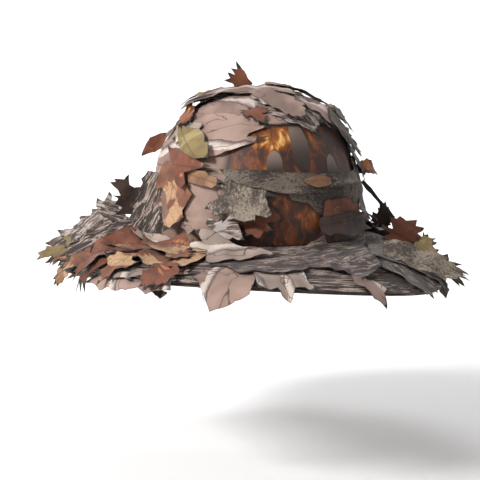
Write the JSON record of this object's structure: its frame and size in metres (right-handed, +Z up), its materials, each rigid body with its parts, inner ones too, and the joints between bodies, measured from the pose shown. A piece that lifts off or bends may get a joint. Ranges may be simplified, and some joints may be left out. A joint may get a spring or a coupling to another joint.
{
  "type": "leaf-cut camouflage brimmed hat",
  "caption": "Soft brimmed field hat with a rounded crown, covered all over in loose leaf-shaped cloth pieces printed like bark and dry leaves.",
  "frame": {"origin": "centre of the head opening, in the plane where the crown meets the brim", "axes": "+Z up through the crown, -Y the front of the hat, +X the wearer's left"},
  "size_m": [0.3872, 0.3956, 0.1986],
  "materials": {
    "camo_cloth": "matte woven polyester, printed with bark and dead leaves",
    "liner_cloth": "matte dark woven tape",
    "stiffener": "matte non-woven interlining",
    "thread": "matte polyester sewing thread",
    "grey_leaf": "thin polyester with a slight sheen, grey bark print",
    "rust_leaf": "thin polyester with a slight sheen, rust leaf print",
    "tan_leaf": "thin polyester with a slight sheen, tan leaf print"
  },
  "bodies": {
    "hat": {"crown_tip": "camo_cloth", "crown_side_front": "camo_cloth", "crown_side_back": "camo_cloth", "brim_upper": "camo_cloth", "brim_stiffener": "stiffener", "brim_lower": "camo_cloth", "sweatband": "liner_cloth", "tip_seam_thread": "thread", "brim_edge_thread": "thread", "tip_panel_front": "tan_leaf", "tip_panel_right": "rust_leaf", "tip_panel_back": "grey_leaf", "tip_panel_left": "grey_leaf", "crown_swoosh_panel": "tan_leaf", "crown_rust_leaf": "rust_leaf", "crown_tan_leaf": "tan_leaf", "crown_belt_strip": "grey_leaf", "crown_belt_leaf": "grey_leaf", "crown_belt_right": "grey_leaf", "crown_right_leaf": "grey_leaf", "crown_right_curl": "rust_leaf", "crown_bark_strip": "grey_leaf", "crown_dark_leaf": "rust_leaf", "crown_back_left_leaf": "tan_leaf", "crown_back_panel": "grey_leaf", "crown_back_right_leaf": "rust_leaf", "brim_grey_leaf": "grey_leaf", "brim_bark_panel": "grey_leaf", "brim_bark_strip": "grey_leaf", "brim_rust_panel": "rust_leaf", "brim_rust_oak": "rust_leaf", "brim_light_leaf": "tan_leaf", "brim_front_bark": "grey_leaf", "brim_right_grey": "grey_leaf", "brim_right_rust": "rust_leaf", "brim_back_right_panel": "grey_leaf", "brim_back_panel": "grey_leaf", "brim_back_left_panel": "grey_leaf"},
    "tip_peak_leaf": {"tip_peak_leaf": "rust_leaf"},
    "crown_right_stem": {"crown_right_stem": "grey_leaf"},
    "crown_left_ribbon": {"crown_left_ribbon": "rust_leaf"},
    "brim_olive_leaf": {"brim_olive_leaf": "tan_leaf"},
    "brim_tan_strip": {"brim_tan_strip": "tan_leaf"},
    "brim_front_leaf": {"brim_front_leaf": "tan_leaf"},
    "brim_front_bark_leaf": {"brim_front_bark_leaf": "tan_leaf"},
    "brim_right_leaf": {"brim_right_leaf": "grey_leaf"},
    "brim_right_tip": {"brim_right_tip": "tan_leaf"},
    "brim_edge_rust": {"brim_edge_rust": "rust_leaf"},
    "brim_back_right_leaf": {"brim_back_right_leaf": "rust_leaf"},
    "brim_back_leaf": {"brim_back_leaf": "tan_leaf"},
    "brim_back_left_leaf": {"brim_back_left_leaf": "rust_leaf"}
  },
  "joints": [
    {"name": "tip_peak_leaf_lift", "type": "hinge", "parent": "hat", "child": "tip_peak_leaf", "pos_m": [-0.00571, -0.00325, 0.13451], "axis": [0.0053, 0.9996, 0.0263], "range_deg": [0, 45], "stiffness_Nm_per_rad": 0.0025},
    {"name": "crown_right_stem_lift", "type": "hinge", "parent": "hat", "child": "crown_right_stem", "pos_m": [0.09287, 0, 0.04875], "axis": [0.0142, -0.996, -0.0877], "range_deg": [0, 70], "stiffness_Nm_per_rad": 0.0025},
    {"name": "crown_left_ribbon_lift", "type": "hinge", "parent": "hat", "child": "crown_left_ribbon", "pos_m": [-0.08086, -0.00279, 0.08914], "axis": [0.0056, 0.9983, 0.0574], "range_deg": [0, 70], "stiffness_Nm_per_rad": 0.0025},
    {"name": "brim_olive_leaf_lift", "type": "hinge", "parent": "hat", "child": "brim_olive_leaf", "pos_m": [-0.16119, 0.00581, -0.00911], "axis": [0.1087, 0.994, 0.0127], "range_deg": [0, 60], "stiffness_Nm_per_rad": 0.0025},
    {"name": "brim_tan_strip_lift", "type": "hinge", "parent": "hat", "child": "brim_tan_strip", "pos_m": [-0.1544, -0.03819, -0.00904], "axis": [-0.2837, 0.9571, -0.0594], "range_deg": [0, 60], "stiffness_Nm_per_rad": 0.0025},
    {"name": "brim_front_leaf_lift", "type": "hinge", "parent": "hat", "child": "brim_front_leaf", "pos_m": [-0.02112, -0.15082, -0.00385], "axis": [-0.9794, 0.1996, 0.0294], "range_deg": [0, 60], "stiffness_Nm_per_rad": 0.0025},
    {"name": "brim_front_bark_leaf_lift", "type": "hinge", "parent": "hat", "child": "brim_front_bark_leaf", "pos_m": [0.03348, -0.15429, -0.00082], "axis": [-0.9614, -0.2728, 0.0374], "range_deg": [0, 60], "stiffness_Nm_per_rad": 0.0025},
    {"name": "brim_right_leaf_lift", "type": "hinge", "parent": "hat", "child": "brim_right_leaf", "pos_m": [0.08209, -0.14101, -0.01413], "axis": [-0.831, -0.549, 0.0892], "range_deg": [0, 60], "stiffness_Nm_per_rad": 0.0025},
    {"name": "brim_right_tip_lift", "type": "hinge", "parent": "hat", "child": "brim_right_tip", "pos_m": [0.15978, 0.00026, -0.02307], "axis": [0.0853, -0.9944, -0.0621], "range_deg": [0, 60], "stiffness_Nm_per_rad": 0.0025},
    {"name": "brim_edge_rust_lift", "type": "hinge", "parent": "hat", "child": "brim_edge_rust", "pos_m": [0.15607, -0.03818, -0.02452], "axis": [-0.1803, -0.9828, 0.0399], "range_deg": [0, 60], "stiffness_Nm_per_rad": 0.0025},
    {"name": "brim_back_right_leaf_lift", "type": "hinge", "parent": "hat", "child": "brim_back_right_leaf", "pos_m": [0.08086, 0.12333, -0.0064], "axis": [0.8422, -0.5328, -0.0822], "range_deg": [0, 60], "stiffness_Nm_per_rad": 0.0025},
    {"name": "brim_back_leaf_lift", "type": "hinge", "parent": "hat", "child": "brim_back_leaf", "pos_m": [0.01667, 0.15482, -0.00618], "axis": [0.9811, -0.1933, -0.003], "range_deg": [0, 60], "stiffness_Nm_per_rad": 0.0025},
    {"name": "brim_back_left_leaf_lift", "type": "hinge", "parent": "hat", "child": "brim_back_left_leaf", "pos_m": [-0.10951, 0.09835, -0.00254], "axis": [0.6624, 0.7489, 0.0189], "range_deg": [0, 60], "stiffness_Nm_per_rad": 0.0025}
  ]
}
